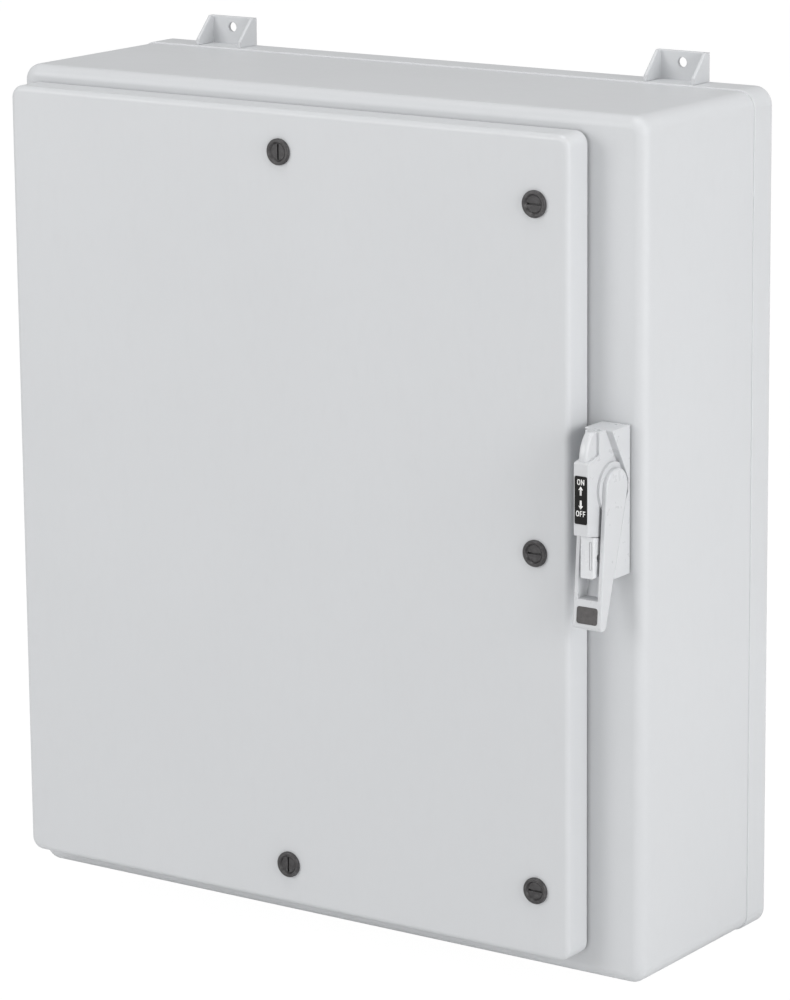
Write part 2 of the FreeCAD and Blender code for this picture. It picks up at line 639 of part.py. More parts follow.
def handle_yoke():
    """Two arms on the shaft, joined at the tip by a solid cross block."""
    x = HANDLE_X
    left = lever_arm(x - LEVER_HALF, x - LEVER_HALF)
    right = lever_arm(x + LEVER_HALF - LEVER_ARM, x + LEVER_HALF)
    profile = proud([(lever_front(-32), -32), (TIP_PROUD, TIP_Z), (TIP_BACK, TIP_Z), (38.5, -32)])
    tip = side_prism(profile, x - LEVER_HALF + 2, x + LEVER_HALF - 2)
    tip = round_edges(tip, TIP_ROUND, crosses_below(TIP_Z + 1))
    yoke = joined([left, right, tip])
    bore = rod_x(SHAFT_RADIUS, x - LEVER_HALF + 2.2, x + LEVER_HALF - 2.2, PIVOT_Y, PIVOT_Z)
    return without(yoke, [bore, tip_pad(12.5, -57.1, -39.3, 3.0, 4.0)])


def tip_pad(half, z0, z1, corner, rise):
    """A rounded rectangle sunk 2.2 mm into the lever's sloping front, standing out by rise."""
    outline = slab(HANDLE_X - half, HANDLE_X + half, z0, z1, FLANGE - 65, FLANGE - 50, corner)
    layer = proud([(lever_front(-60) + rise, -60), (lever_front(-36) + rise, -36),
                   (lever_front(-36) - 2.2, -36), (lever_front(-60) - 2.2, -60)])
    return outline.common(side_prism(layer, HANDLE_X - 20, HANDLE_X + 20))


def tip_insert():
    return tip_pad(12.4, -57.0, -39.4, 2.9, 0.4)


def pivot_shaft():
    return rod_x(SHAFT_RADIUS, HANDLE_X - LEVER_HALF + 2.2, HANDLE_X + LEVER_HALF - 2.2, PIVOT_Y, PIVOT_Z)


def wire_drum(x, y, z, wire_radius, half_width, bore):
    """A flanged wheel whose groove floor is just inside the wire."""
    floor = wire_radius - WIRE - 0.1
    core = rod_x(floor, x - half_width, x + half_width, y, z)
    rims = [rod_x(wire_radius + WIRE, x0, x0 + 1.4, y, z) for x0 in (x - half_width, x + half_width - 1.4)]
    return joined([core] + rims).cut(rod_x(bore, x - half_width - 1, x + half_width + 1, y, z))


def lock_slide():
    """Padlock slide: block with a well rounded left edge, finger groove, cross hole and guiding tongue."""
    x = HANDLE_X
    half = SLIDE_HALF
    front = FLANGE - SLIDE_PROUD
    outline = slab(x - half, x + half, -8.9, 38.0, front, FLANGE - 28.0, 2.5)
    section = two_round_edges(x - half, x + half, front, FLANGE - 20.0, -10.0, 39.0, 4.5, 1.4)
    tongue = block(x - 4.5, x + 4.5, FLANGE - 29.0, FLANGE - 12.0, 2.1, 19.9)
    above = side_prism(proud([(26, 25.3), (47, 32.1), (60, 34.9), (60, 40), (26, 40)]), x - 11, x + 11)
    groove = slab(x + 3.55, x + 7.05, -0.2, 29.9, front - 1.0, front + 0.8, 1.7)
    island = slab(x + 4.5, x + 6.1, 0.75, 28.95, front - 1.0, front + 1.0, 0.75)
    hole = rod_x(4.0, x - 11, x + 11, FLANGE - PADLOCK_PROUD, 12.0)
    return without(joined([outline.common(section), tongue]), [above, groove.cut(island), hole])


# ---------------------------------------------------------------- wires between handle and switch
DRUM_X = SWITCH_X + 136.0
ANCHOR_Z = BLADE_Z + 60.0


def wire_runs():
    """For each wire: height at the handle drum and depth at the switch drum."""
    return [(PIVOT_Z + HANDLE_WIRE, BLADE_Y - SWITCH_WIRE), (PIVOT_Z - HANDLE_WIRE, BLADE_Y + SWITCH_WIRE)]


def pull_wires():
    wires = []
    for z, y in wire_runs():
        wires.append(rod_y(WIRE, PIVOT_Y, FLANGE_BACK + 1.0, HANDLE_X, z))
        wires.append(rod_z(WIRE, BLADE_Z, ANCHOR_Z, DRUM_X, y))
    return wires


def wire_sheath(z, y, turn):
    """Straight back from the flange, a level bend to the left, a run across and a bend down into the nut."""
    bend_start = y - turn
    across = HANDLE_X - turn
    tail_top = ANCHOR_Z + 16.0
    drop = z - tail_top
    level_disc = disc(SHEATH, FreeCAD.Vector(HANDLE_X, bend_start, z), BACK_Y)
    level_bend = level_disc.revolve(FreeCAD.Vector(across, bend_start, z), UP_Z, 90)
    down_disc = disc(SHEATH, FreeCAD.Vector(DRUM_X + drop, y, z), SIDE_X)
    down_bend = down_disc.revolve(FreeCAD.Vector(DRUM_X + drop, y, tail_top), -BACK_Y, 90)
    lead = rod_y(SHEATH, FLANGE_BACK, bend_start, HANDLE_X, z)
    run = rod_x(SHEATH, DRUM_X + drop, across, y, z)
    tail = rod_z(SHEATH, ANCHOR_Z + 6.0, tail_top, DRUM_X, y)
    return joined([lead, level_bend, run, down_bend, tail])


def wire_conduits():
    """Flexible sheaths that carry each wire from the flange round to the switch."""
    tubes = []
    for (z, y), turn in zip(wire_runs(), SHEATH_TURNS):
        end_socket = rod_y(WIRE + 0.2, FLANGE_BACK - 1, FLANGE_BACK + 2.0, HANDLE_X, z)
        tubes.append(wire_sheath(z, y, turn).cut(end_socket))
    return tubes


def rotor_bracket():
    """Steel post on the panel with the stub shaft of the switch drum and the sheath anchor."""
    x0 = DRUM_X + 7.0
    foot_plate = block(x0, x0 + 40.0, PANEL_FRONT - 3.0, PANEL_FRONT, BLADE_Z - 30.0, ANCHOR_Z + 12.0)
    post = block(x0, x0 + 3.0, BLADE_Y - 36.0, PANEL_FRONT, BLADE_Z - 30.0, ANCHOR_Z + 12.0)
    shelf = block(DRUM_X - 6.0, x0 + 1.0, BLADE_Y - 36.0, BLADE_Y + 36.0, ANCHOR_Z, ANCHOR_Z + 3.0)
    stub = rod_x(6.0, DRUM_X - 12.0, x0 + 1.0, BLADE_Y, BLADE_Z)
    cuts = [rod_z(WIRE + 0.3, ANCHOR_Z - 1, ANCHOR_Z + 4, DRUM_X, y) for _, y in wire_runs()]
    cuts += [rod_y(3.0, PANEL_FRONT - 4, PANEL_FRONT + 1, x, z) for x, z in bracket_screw_points()]
    return without(joined([foot_plate, post, shelf, stub]), cuts)


def bracket_screw_points():
    return [(DRUM_X + 27.0, BLADE_Z - 18.0), (DRUM_X + 27.0, ANCHOR_Z)]


def conduit_nuts():
    """Threaded ends that clamp each sheath to the anchor shelf."""
    nuts = []
    for _, y in wire_runs():
        body = rod_z(5.0, ANCHOR_Z + 3.0, ANCHOR_Z + 15.0, DRUM_X, y)
        nuts.append(body.cut(rod_z(3.3, ANCHOR_Z + 2.0, ANCHOR_Z + 16.0, DRUM_X, y)))
    return nuts


# ---------------------------------------------------------------- panel and switch
def back_panel():
    half_w = PANEL_WIDTH / 2
    half_h = PANEL_HEIGHT / 2
    plate = slab(-half_w, half_w, -half_h, half_h, PANEL_FRONT, PANEL_FRONT + PANEL_THICKNESS, 8.0)
    cuts = [rod_y(STUD_RADIUS + 0.5, PANEL_FRONT - 1, 0, sx * STUD_X, sz * STUD_Z)
            for sx in (-1, 1) for sz in (-1, 1)]
    points = switch_screw_points() + ground_stud_points() + bracket_screw_points()
    cuts += [rod_y(3.0, PANEL_FRONT - 1, 0, x, z) for x, z in points]
    return without(plate, cuts)


def panel_studs():
    return [rod_y(STUD_RADIUS, PANEL_FRONT - 10.0, -12.0, sx * STUD_X, sz * STUD_Z)
            for sx in (-1, 1) for sz in (-1, 1)]


def panel_nuts():
    nuts = []
    for sx in (-1, 1):
        for sz in (-1, 1):
            nut = hexagon(13.0, PANEL_FRONT - 7.0, PANEL_FRONT - 0.5, sx * STUD_X, sz * STUD_Z)
            washer = rod_y(8.5, PANEL_FRONT - 0.6, PANEL_FRONT, sx * STUD_X, sz * STUD_Z)
            bore = rod_y(STUD_RADIUS, PANEL_FRONT - 20, 0, sx * STUD_X, sz * STUD_Z)
            nuts.append(joined([nut, washer]).cut(bore))
    return nuts


def pole_positions():
    return [SWITCH_X + k * POLE_PITCH for k in (-1, 0, 1)]


def switch_screw_points():
    return [(SWITCH_X + sx * 104.0, z) for sx in (-1, 1) for z in (-140.0, 140.0)]


def shield_screw_points():
    return [(SWITCH_X + sx * 93.0, z) for sx in (-1, 1) for z in (70.0, 142.0)]


def switch_base():
    """Moulded base with a barrier between the poles, deeper beside the incoming lugs."""
    x = SWITCH_X
    base = slab(x - 112, x + 112, -150, 150, PANEL_FRONT - 22, PANEL_FRONT, 6.0)
    parts = [base]
    for k in (-1.5, -0.5, 0.5, 1.5):
        rib_x = x + k * POLE_PITCH
        parts.append(block(rib_x - 3, rib_x + 3, -70, PANEL_FRONT - 21, -149, 149))
        parts.append(block(rib_x - 3, rib_x + 3, -102, PANEL_FRONT - 21, 62, 149))
    cuts = [rod_y(3.0, PANEL_FRONT - 25, PANEL_FRONT + 1, sx, z) for sx, z in switch_screw_points()]
    cuts += [rod_y(1.6, -103, -90, sx, z) for sx, z in shield_screw_points()]
    return without(joined(parts), cuts)


def panel_screws():
    """Screws that hold the switch base and the rotor bracket to the panel."""
    places = [(x, z, 22.0) for x, z in switch_screw_points()]
    places += [(x, z, 3.0) for x, z in bracket_screw_points()]
    return [screw(x, PANEL_FRONT - grip, z, 3.0, grip + PANEL_THICKNESS, 5.5, 3.5) for x, z, grip in places]


def jaw(x, z0, z1, y_front):
    """Two spring plates either side of a blade."""
    middle = JAW_GAP / 2 + 1.0
    return [block(x + side * middle - 1.0, x + side * middle + 1.0, y_front, PANEL_FRONT - 25.0, z0, z1)
            for side in (-1, 1)]


def line_terminals():
    pieces = []
    for x in pole_positions():
        strip = block(x - 11, x + 11, PANEL_FRONT - 25.5, PANEL_FRONT - 22, 18, 122)
        pieces.append(joined(jaw(x, 20, 48, -97) + [strip]))
    return pieces


def load_terminals():
    pieces = []
    for x in pole_positions():
        strip = block(x - 11, x + 11, PANEL_FRONT - 25.5, PANEL_FRONT - 22, -138, -46)
        hinge = joined(jaw(x, BLADE_Z - 12, BLADE_Z + 12, -96) + [strip])
        pieces.append(hinge.cut(rod_x(4.0, x - 5, x + 5, BLADE_Y, BLADE_Z)))
    return pieces


def blade_pins():
    half = JAW_GAP / 2 + 3.2
    return [rod_x(4.0, x - half, x + half, BLADE_Y, BLADE_Z) for x in pole_positions()]


def lug(x, z0, z1):
    """Box lug with a wire hole that opens away from the blades and a clamping screw hole."""
    body = slab(x - 13, x + 13, z0, z1, PANEL_FRONT - 57, PANEL_FRONT - 25.5, 2.0)
    z_mid = (z0 + z1) / 2
    wire = rod_z(9.0, z0 - 1, z1 + 1, x, PANEL_FRONT - 39)
    return without(body, [wire, rod_y(5.0, PANEL_FRONT - 58, PANEL_FRONT - 40, x, z_mid)])


def wire_lugs():
    return [lug(x, z0, z0 + 30) for x in pole_positions() for z0 in (88, -134)]


def lug_screws():
    """Socket set screws, backed off to leave the wire holes open."""
    screws = []
    for x in pole_positions():
        for z in (103.0, -119.0):
            body = rod_y(5.0, PANEL_FRONT - 62, PANEL_FRONT - 48.2, x, z)
            screws.append(body.cut(hexagon(5.0, PANEL_FRONT - 63, PANEL_FRONT - 57, x, z)))
    return screws


def line_shield():
    x = SWITCH_X
    plate = slab(x - 98, x + 98, 64, 148, -104, -102, 4.0)
    cuts = [rod_y(1.6, -105, -101, sx, z) for sx, z in shield_screw_points()]
    return without(plate, cuts)


def shield_screws():
    return [screw(x, -104, z, 1.6, 13.0, 3.2, 2.0) for x, z in shield_screw_points()]


def blades():
    """Three copper blades, standing straight out from the panel at rest."""
    half = BLADE_THICKNESS / 2
    pieces = []
    for x in pole_positions():
        blade = block(x - half, x + half, BLADE_Y - BLADE_LENGTH, BLADE_Y + 11, BLADE_Z - 11, BLADE_Z + 11)
        blade = round_edges(blade, 5.0, runs_along(SIDE_X))
        hole = rod_x(4.0 + RUNNING, x - 3, x + 3, BLADE_Y, BLADE_Z)
        pass_through = rod_x(CROSSBAR_ROUND, x - 3, x + 3, BLADE_Y - CROSSBAR_RADIUS, BLADE_Z)
        pieces.append(without(blade, [hole, pass_through]))
    return pieces


def crossbar():
    """Insulating bar that carries the blades, with its crank to the wire drum."""
    y = BLADE_Y - CROSSBAR_RADIUS
    bar = rod_x(CROSSBAR_ROUND, SWITCH_X - 92, SWITCH_X + 116, y, BLADE_Z)
    arm = block(SWITCH_X + 110, SWITCH_X + 116, y - 9, BLADE_Y + 12, BLADE_Z - 12, BLADE_Z + 12)
    arm = round_edges(arm, 6.0, runs_along(SIDE_X))
    return joined([bar, arm])


def switch_drum():
    drum = wire_drum(DRUM_X, BLADE_Y, BLADE_Z, SWITCH_WIRE, 6.0, 6.0 + RUNNING)
    spacer = rod_x(11.0, SWITCH_X + 116, DRUM_X - 6, BLADE_Y, BLADE_Z)
    spacer = spacer.cut(rod_x(6.0 + RUNNING, DRUM_X - 14, DRUM_X, BLADE_Y, BLADE_Z))
    return joined([drum, spacer])


def ground_stud_points():
    return [(-280.0, -330.0), (-200.0, -330.0)]


def ground_bar():
    bar = block(-292, -188, PANEL_FRONT - 20, PANEL_FRONT - 10, -337, -323)
    cuts = [rod_y(3.0, PANEL_FRONT - 21, PANEL_FRONT, x, z) for x, z in ground_stud_points()]
    for x in GROUND_WIRES:
        cuts.append(rod_y(2.5, PANEL_FRONT - 21, PANEL_FRONT - 14.5, x, -330))
        cuts.append(rod_z(3.0, -338, -322, x, PANEL_FRONT - 14.5))
    return without(bar, cuts)


def ground_studs():
    """Headed studs with spacers that hold the ground bar off the panel."""
    studs = []
    for x, z in ground_stud_points():
        post = rod_y(6.0, PANEL_FRONT - 10, PANEL_FRONT, x, z)
        studs.append(joined([screw(x, PANEL_FRONT - 20, z, 3.0, 20 + PANEL_THICKNESS, 5.5, 3.5), post]))
    return studs


def ground_screws():
    return [screw(x, PANEL_FRONT - 21.5, -330.0, 2.5, 4.0, 4.2, 2.6) for x in GROUND_WIRES]


# ---------------------------------------------------------------- door interlock
def bolt_guide_screw_points():
    return [(342.0, BOLT_Z + dz) for dz in (-15.0, 15.0)]


def bolt_guide():
    """Guide block behind the flange for the interlock bolt."""
    body = block(320, 350, FLANGE_BACK, BOLT_Y + 9, BOLT_Z - 22, BOLT_Z + 22)
    body = body.cut(block(319, 351, BOLT_Y - 8, BOLT_Y + 10, BOLT_Z + 9, BOLT_Z + 23))
    body = body.cut(block(319, 351, BOLT_Y - 8, BOLT_Y + 10, BOLT_Z - 23, BOLT_Z - 9))
    cuts = [rod_x(BOLT_RADIUS + RUNNING, 319, 351, BOLT_Y, BOLT_Z)]
    cuts += [rod_y(2.0, FLANGE_BACK - 1, BOLT_Y, x, z) for x, z in bolt_guide_screw_points()]
    return without(body, cuts)


def bolt_guide_screws():
    return [screw(x, BOLT_Y - 8, z, 2.0, BOLT_Y - 8 - FLANGE - 1.0, 3.8, 2.4, into=-1)
            for x, z in bolt_guide_screw_points()]


def interlock_bolt():
    bolt = rod_x(BOLT_RADIUS, BOLT_TIP, 366, BOLT_Y, BOLT_Z)
    return round_edges(bolt, 1.2, lies_at_x(BOLT_TIP))


def catch_screw_points():
    return [(CATCH_X - 12.0, BOLT_Z + dz) for dz in (-10.0, 10.0)]


def interlock_catch():
    """Steel angle on the door with the hole the bolt enters."""
    foot_back = DOOR_INNER + CATCH_FOOT
    foot_plate = block(CATCH_X - 22, CATCH_X + 3, DOOR_INNER, foot_back, BOLT_Z - 18, BOLT_Z + 18)
    arm = slab(CATCH_X, CATCH_X + 3, BOLT_Z - 14, BOLT_Z + 14, DOOR_INNER, BOLT_Y + 12, 1.0)
    cuts = [rod_x(6.5, CATCH_X - 1, CATCH_X + 4, BOLT_Y, BOLT_Z)]
    cuts += [rod_y(2.0, DOOR_INNER - 1, DOOR_INNER + 3, x, z) for x, z in catch_screw_points()]
    return without(joined([foot_plate, arm]), cuts)


# ---------------------------------------------------------------- write every piece
def main():
    os.makedirs("parts", exist_ok=True)
    save("enclosure_body", [enclosure_body()])
    save("mounting_feet", [foot(x, side) for x, side in foot_positions()])
    save("foot_screws", foot_screws())

    save("door_shell", [door_shell()])
    save("door_gasket", [door_gasket()])
    save("hinge_body_leaves", [hinge_body_leaf(z) for z in HINGE_LEVELS])
    save("hinge_door_leaves", [hinge_door_leaf(z) for z in HINGE_LEVELS])
    save("hinge_pins", hinge_pins())
    save("hinge_body_screws", hinge_body_screws())
    save("door_fitting_screws", door_screws(hinge_door_screw_points(), DOOR_INNER + HINGE_LEAF)
         + door_screws(catch_screw_points(), DOOR_INNER + CATCH_FOOT))

    places = latch_places()
    save("latch_bezels", [latch_bezel(x, z) for _, x, z, _ in places])
    save("latch_nuts", [latch_nut(x, z) for _, x, z, _ in places])
    for name, x, z, outward in places:
        save("latch_core_" + name, [latch_core(x, z, outward)])
        save("latch_cam_" + name, [latch_cam(x, z, outward)])

    save("handle_gasket", [handle_gasket()])
    save("handle_housing", [handle_housing()])
    save("handle_housing_screws", housing_screws())
    save("legend_plate", [legend_plate()])
    save("handle_yoke", [handle_yoke()])
    save("handle_tip_insert", [tip_insert()])
    save("handle_shaft", [pivot_shaft()])
    save("handle_drum", [wire_drum(HANDLE_X, PIVOT_Y, PIVOT_Z, HANDLE_WIRE, 5.0, SHAFT_RADIUS)])
    save("lock_slide", [lock_slide()])
    save("pull_wires", pull_wires())
    save("wire_conduits", wire_conduits())
    save("conduit_nuts", conduit_nuts())
    save("rotor_bracket", [rotor_bracket()])

    save("back_panel", [back_panel()])
    save("panel_studs", panel_studs())
    save("panel_nuts", panel_nuts())
    save("switch_base", [switch_base()])
    save("panel_screws", panel_screws())
    save("line_terminals", line_terminals())
    save("load_terminals", load_terminals())
    save("blade_pins", blade_pins())
    save("wire_lugs", wire_lugs())
    save("lug_screws", lug_screws())
    save("line_shield", [line_shield()])
    save("shield_screws", shield_screws())
    save("blades", blades())
    save("crossbar", [crossbar()])
    save("switch_drum", [switch_drum()])
    save("ground_bar", [ground_bar()])
    save("ground_studs", ground_studs())
    save("ground_screws", ground_screws())

    save("bolt_guide", [bolt_guide()])
    save("bolt_guide_screws", bolt_guide_screws())
    save("interlock_bolt", [interlock_bolt()])
    save("interlock_catch", [interlock_catch()])


main()
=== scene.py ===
import json
import math

import bmesh
import bpy
from mathutils import Matrix, Vector, noise


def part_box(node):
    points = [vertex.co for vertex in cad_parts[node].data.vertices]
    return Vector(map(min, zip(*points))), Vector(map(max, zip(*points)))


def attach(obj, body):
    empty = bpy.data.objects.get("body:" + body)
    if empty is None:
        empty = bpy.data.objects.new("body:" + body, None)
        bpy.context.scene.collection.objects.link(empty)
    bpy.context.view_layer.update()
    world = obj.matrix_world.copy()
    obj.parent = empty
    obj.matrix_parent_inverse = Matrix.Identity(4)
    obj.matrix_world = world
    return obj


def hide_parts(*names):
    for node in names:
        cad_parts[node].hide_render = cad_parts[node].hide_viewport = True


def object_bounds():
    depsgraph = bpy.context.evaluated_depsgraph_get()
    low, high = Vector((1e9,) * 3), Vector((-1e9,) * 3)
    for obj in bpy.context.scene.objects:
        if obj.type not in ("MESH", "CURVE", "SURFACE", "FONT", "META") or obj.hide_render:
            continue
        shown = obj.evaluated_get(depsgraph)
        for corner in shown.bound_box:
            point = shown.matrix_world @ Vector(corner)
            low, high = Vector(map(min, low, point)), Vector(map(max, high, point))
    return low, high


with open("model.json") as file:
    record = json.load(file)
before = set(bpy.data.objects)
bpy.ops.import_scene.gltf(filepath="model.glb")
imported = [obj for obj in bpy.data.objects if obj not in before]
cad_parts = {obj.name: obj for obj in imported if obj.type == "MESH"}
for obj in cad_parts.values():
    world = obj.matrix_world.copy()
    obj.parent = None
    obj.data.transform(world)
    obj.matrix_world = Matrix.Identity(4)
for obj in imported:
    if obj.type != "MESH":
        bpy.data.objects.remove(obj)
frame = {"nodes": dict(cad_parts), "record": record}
CAD_LOW, CAD_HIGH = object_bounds()

# Looks, lights and camera for a flange-mounted disconnect switch in a moulded wall enclosure.
# Lengths are metres in the part's own frame: X to the right, Y back to the wall, Z up.
MM = 0.001
NODES = frame["nodes"]

# Marks on the legend plate
INK_THICKNESS = 0.05 * MM
LETTER_HEIGHT = 5.9 * MM
STROKE = 0.92 * MM
LETTER_GAP = 0.75 * MM
LETTER_WIDTHS = {"O": 3.8 * MM, "N": 3.9 * MM, "F": 2.9 * MM}

# Soft and fine pieces
TIP_SLOPE = 0.0785       # the front of the lever leans out by this much per unit down
WIRE_RADIUS = 1.0 * MM
SHEATH_RADIUS = 3.0 * MM
HANDLE_WIRE_Y = (-0.276, -0.244)     # handle axis to just behind the flange
HANDLE_WIRE_Z = (0.081 + 0.0186, 0.081 - 0.0186)
SWITCH_WIRE_Y = (-0.085 - 0.0268667, -0.085 + 0.0268667)
SWITCH_WIRE_Z = (-0.060, 0.0)
SHEATH_TURNS = (0.130, 0.170)        # radius of each sheath's level bend
SHEATH_TAIL = (0.016, 0.006)         # top and bottom of the straight end above the switch
FINE_STEP = 0.8 * MM                 # spacing of the sheath's rings

# Camera: azimuth is measured from the front towards the handle side.
AZIMUTH = 34.677
ELEVATION = 12.612
ROLL = -0.498
CAMERA_PLACE = Vector((2.6358, -3.9142, 1.0766))
LENS = 156.36
SENSOR = 36.0
SHIFT_X = -0.0057
SHIFT_Y = -0.0484


# ---------------------------------------------------------------- material kit
class Recipe:
    """One procedural material: a Principled shader and the nodes that feed it."""

    def __init__(self, name, colour, roughness, metallic=0.0, specular=0.5):
        self.material = bpy.data.materials.new(name)
        self.material.use_nodes = True
        self.tree = self.material.node_tree
        self.shader = self.tree.nodes["Principled BSDF"]
        self.colour = self.value_colour(colour)
        self.roughness = roughness
        self.normal = None
        self.place = self.add("ShaderNodeTexCoord").outputs["Object"]
        self.shader.inputs["Metallic"].default_value = metallic
        self.shader.inputs["Specular IOR Level"].default_value = specular

    def add(self, kind, **settings):
        node = self.tree.nodes.new(kind)
        for key, value in settings.items():
            setattr(node, key, value)
        return node

    def wire(self, source, target):
        if hasattr(source, "is_output"):
            self.tree.links.new(source, target)
        else:
            target.default_value = source

    def value_colour(self, colour):
        node = self.add("ShaderNodeRGB")
        node.outputs[0].default_value = (*colour, 1.0)
        return node.outputs[0]

    def stretched(self, stretch):
        """Object position scaled per axis, for grain that runs one way."""
        node = self.add("ShaderNodeVectorMath", operation="MULTIPLY")
        self.wire(self.place, node.inputs[0])
        node.inputs[1].default_value = stretch
        return node.outputs[0]

    def noise(self, scale, detail=4.0, roughness=0.5, stretch=(1.0, 1.0, 1.0)):
        node = self.add("ShaderNodeTexNoise")
        self.wire(self.stretched(stretch), node.inputs["Vector"])
        node.inputs["Scale"].default_value = scale
        node.inputs["Detail"].default_value = detail
        node.inputs["Roughness"].default_value = roughness
        return node.outputs[0]

    def cells(self, scale, stretch=(1.0, 1.0, 1.0)):
        node = self.add("ShaderNodeTexVoronoi")
        self.wire(self.stretched(stretch), node.inputs["Vector"])
        node.inputs["Scale"].default_value = scale
        return node.outputs["Distance"]

    def remap(self, source, low, high, to_low, to_high):
        node = self.add("ShaderNodeMapRange")
        self.wire(source, node.inputs["Value"])
        for key, value in (("From Min", low), ("From Max", high), ("To Min", to_low), ("To Max", to_high)):
            node.inputs[key].default_value = value
        return node.outputs[0]

    def tint(self, mask, colour):
        """Blend towards a colour where the mask is high."""
        node = self.add("ShaderNodeMix", data_type="RGBA")
        self.wire(mask, node.inputs[0])
        self.wire(self.colour, node.inputs[6])
        self.wire((*colour, 1.0), node.inputs[7])
        self.colour = node.outputs[2]
        return self

    def polish(self, source, low, high, smooth, rough):
        """Roughness that follows a texture between two values."""
        self.roughness = self.remap(source, low, high, smooth, rough)
        return self

    def bump(self, height, depth, strength=1.0):
        """Raise the surface by a texture; depth is in metres."""
        node = self.add("ShaderNodeBump")
        self.wire(height, node.inputs["Height"])
        node.inputs["Distance"].default_value = depth
        node.inputs["Strength"].default_value = strength
        if self.normal:
            self.wire(self.normal, node.inputs["Normal"])
        self.normal = node.outputs[0]
        return self

    def soft_edges(self, radius):
        """Light catches sharp edges as it does on real moulded or deburred ones."""
        node = self.add("ShaderNodeBevel", samples=4)
        node.inputs["Radius"].default_value = radius
        self.normal = node.outputs[0]
        return self

    def edge_mask(self, radius, reach=0.35):
        """High within a radius of a sharp edge."""
        bevel = self.add("ShaderNodeBevel", samples=4)
        bevel.inputs["Radius"].default_value = radius
        flat = self.add("ShaderNodeNewGeometry").outputs["Normal"]
        dot = self.add("ShaderNodeVectorMath", operation="DOT_PRODUCT")
        self.wire(bevel.outputs[0], dot.inputs[0])
        self.wire(flat, dot.inputs[1])
        return self.remap(dot.outputs["Value"], 1.0, 0.8, 0.0, reach)

    def done(self):
        self.wire(self.colour, self.shader.inputs["Base Color"])
        self.wire(self.roughness, self.shader.inputs["Roughness"])
        if self.normal:
            self.wire(self.normal, self.shader.inputs["Normal"])
        return self.material


# ---------------------------------------------------------------- materials
def moulded_resin(name, colour, gloss=0.40):
    """Compression-moulded glass-fibre polyester: faint flow mottling, a fine satin grain and a painted
    highlight along its edges.
    """
    resin = Recipe(name, colour, gloss, specular=0.45)
    resin.soft_edges(0.0008)
    lighter = [min(1.0, c * 1.035) for c in colour]
    darker = [c * 0.955 for c in colour]
    resin.tint(resin.remap(resin.noise(2.5, 2.0), 0.40, 0.75, 0.0, 0.6), lighter)
    resin.tint(resin.remap(resin.noise(90.0, 5.0, 0.65, (1.0, 1.0, 0.35)), 0.50, 0.80, 0.0, 0.3), darker)
    # painted highlight: the colour is made lighter near edges, as if light were catching them
    resin.tint(resin.edge_mask(0.002, 0.25), lighter)
    resin.polish(resin.noise(9.0, 5.0, 0.6), 0.30, 0.70, gloss - 0.05, gloss + 0.07)
    resin.bump(resin.noise(14.0, 2.0), 0.0006, 0.25)
    resin.bump(resin.noise(1400.0, 2.0), 0.00003, 0.30)
    return resin.done()


def glossy_moulding(name, colour, gloss=0.30):
    """Injection-moulded thermoplastic: even colour, light scuffs, slightly rounded edges with a painted
    highlight along them.
    """
    plastic = Recipe(name, colour, gloss)
    plastic.soft_edges(0.0005)
    plastic.tint(plastic.remap(plastic.noise(25.0, 2.0), 0.40, 0.80, 0.0, 0.4), [c * 0.975 for c in colour])
    # painted highlight: the colour is made lighter near edges, as if light were catching them
    plastic.tint(plastic.edge_mask(0.0012, 0.3), [min(1.0, c * 1.05) for c in colour])
    plastic.polish(plastic.noise(60.0, 3.0, 0.6), 0.35, 0.70, gloss - 0.03, gloss + 0.05)
    plastic.bump(plastic.noise(1400.0, 1.0), 0.00001, 0.15)
    return plastic.done()


def textured_moulding(name, colour, worn, gloss=0.50, grain=1500.0, specular=0.5):
    """Dark spark-eroded moulding, paler where handling has rubbed its edges."""
    plastic = Recipe(name, colour, gloss, specular=specular)
    plastic.soft_edges(0.0004)
    plastic.tint(plastic.remap(plastic.noise(180.0, 5.0, 0.7), 0.45, 0.75, 0.0, 0.6), worn)
    plastic.tint(plastic.edge_mask(0.0010, 0.7), worn)
    plastic.polish(plastic.noise(300.0, 4.0), 0.30, 0.70, gloss - 0.10, gloss + 0.12)
    plastic.bump(plastic.noise(grain, 3.0, 0.6), 0.00008, 0.5)
    return plastic.done()


def plated_steel(name, colour, cloud, gloss=0.32):
    """Bright zinc: cloudy passivation, fine drawing lines and duller edges."""
    metal = Recipe(name, colour, gloss, metallic=1.0)
    metal.soft_edges(0.0003)
    metal.tint(metal.remap(metal.noise(70.0, 5.0, 0.65), 0.40, 0.70, 0.0, 0.8), cloud)
    metal.tint(metal.edge_mask(0.0008, 0.5), [c * 0.7 for c in cloud])
    metal.polish(metal.noise(260.0, 4.0), 0.30, 0.70, gloss - 0.10, gloss + 0.14)
    metal.bump(metal.noise(700.0, 3.0), 0.00004, 0.3)
    return metal.done()


def brushed_metal(name, colour, along, gloss=0.28, dulled=None):
    """Metal with fine lines that run one way, slightly dulled patches and a painted highlight along its
    edges.
    """
    stretch = tuple(0.04 if axis == along else 1.0 for axis in "xyz")
    metal = Recipe(name, colour, gloss, metallic=1.0)
    metal.soft_edges(0.0003)
    patches = dulled or [c * 0.72 for c in colour]
    metal.tint(metal.remap(metal.noise(45.0, 5.0, 0.7), 0.45, 0.75, 0.0, 0.85), patches)
    # painted highlight: edges are tinted brighter, standing in for light glinting on them
    metal.tint(metal.edge_mask(0.0008, 0.5), [min(1.0, c * 1.15) for c in colour])
    metal.polish(metal.noise(900.0, 4.0, 0.6, stretch), 0.25, 0.75, gloss - 0.10, gloss + 0.16)
    metal.bump(metal.noise(1600.0, 2.0, 0.5, stretch), 0.00003, 0.4)
    return metal.done()


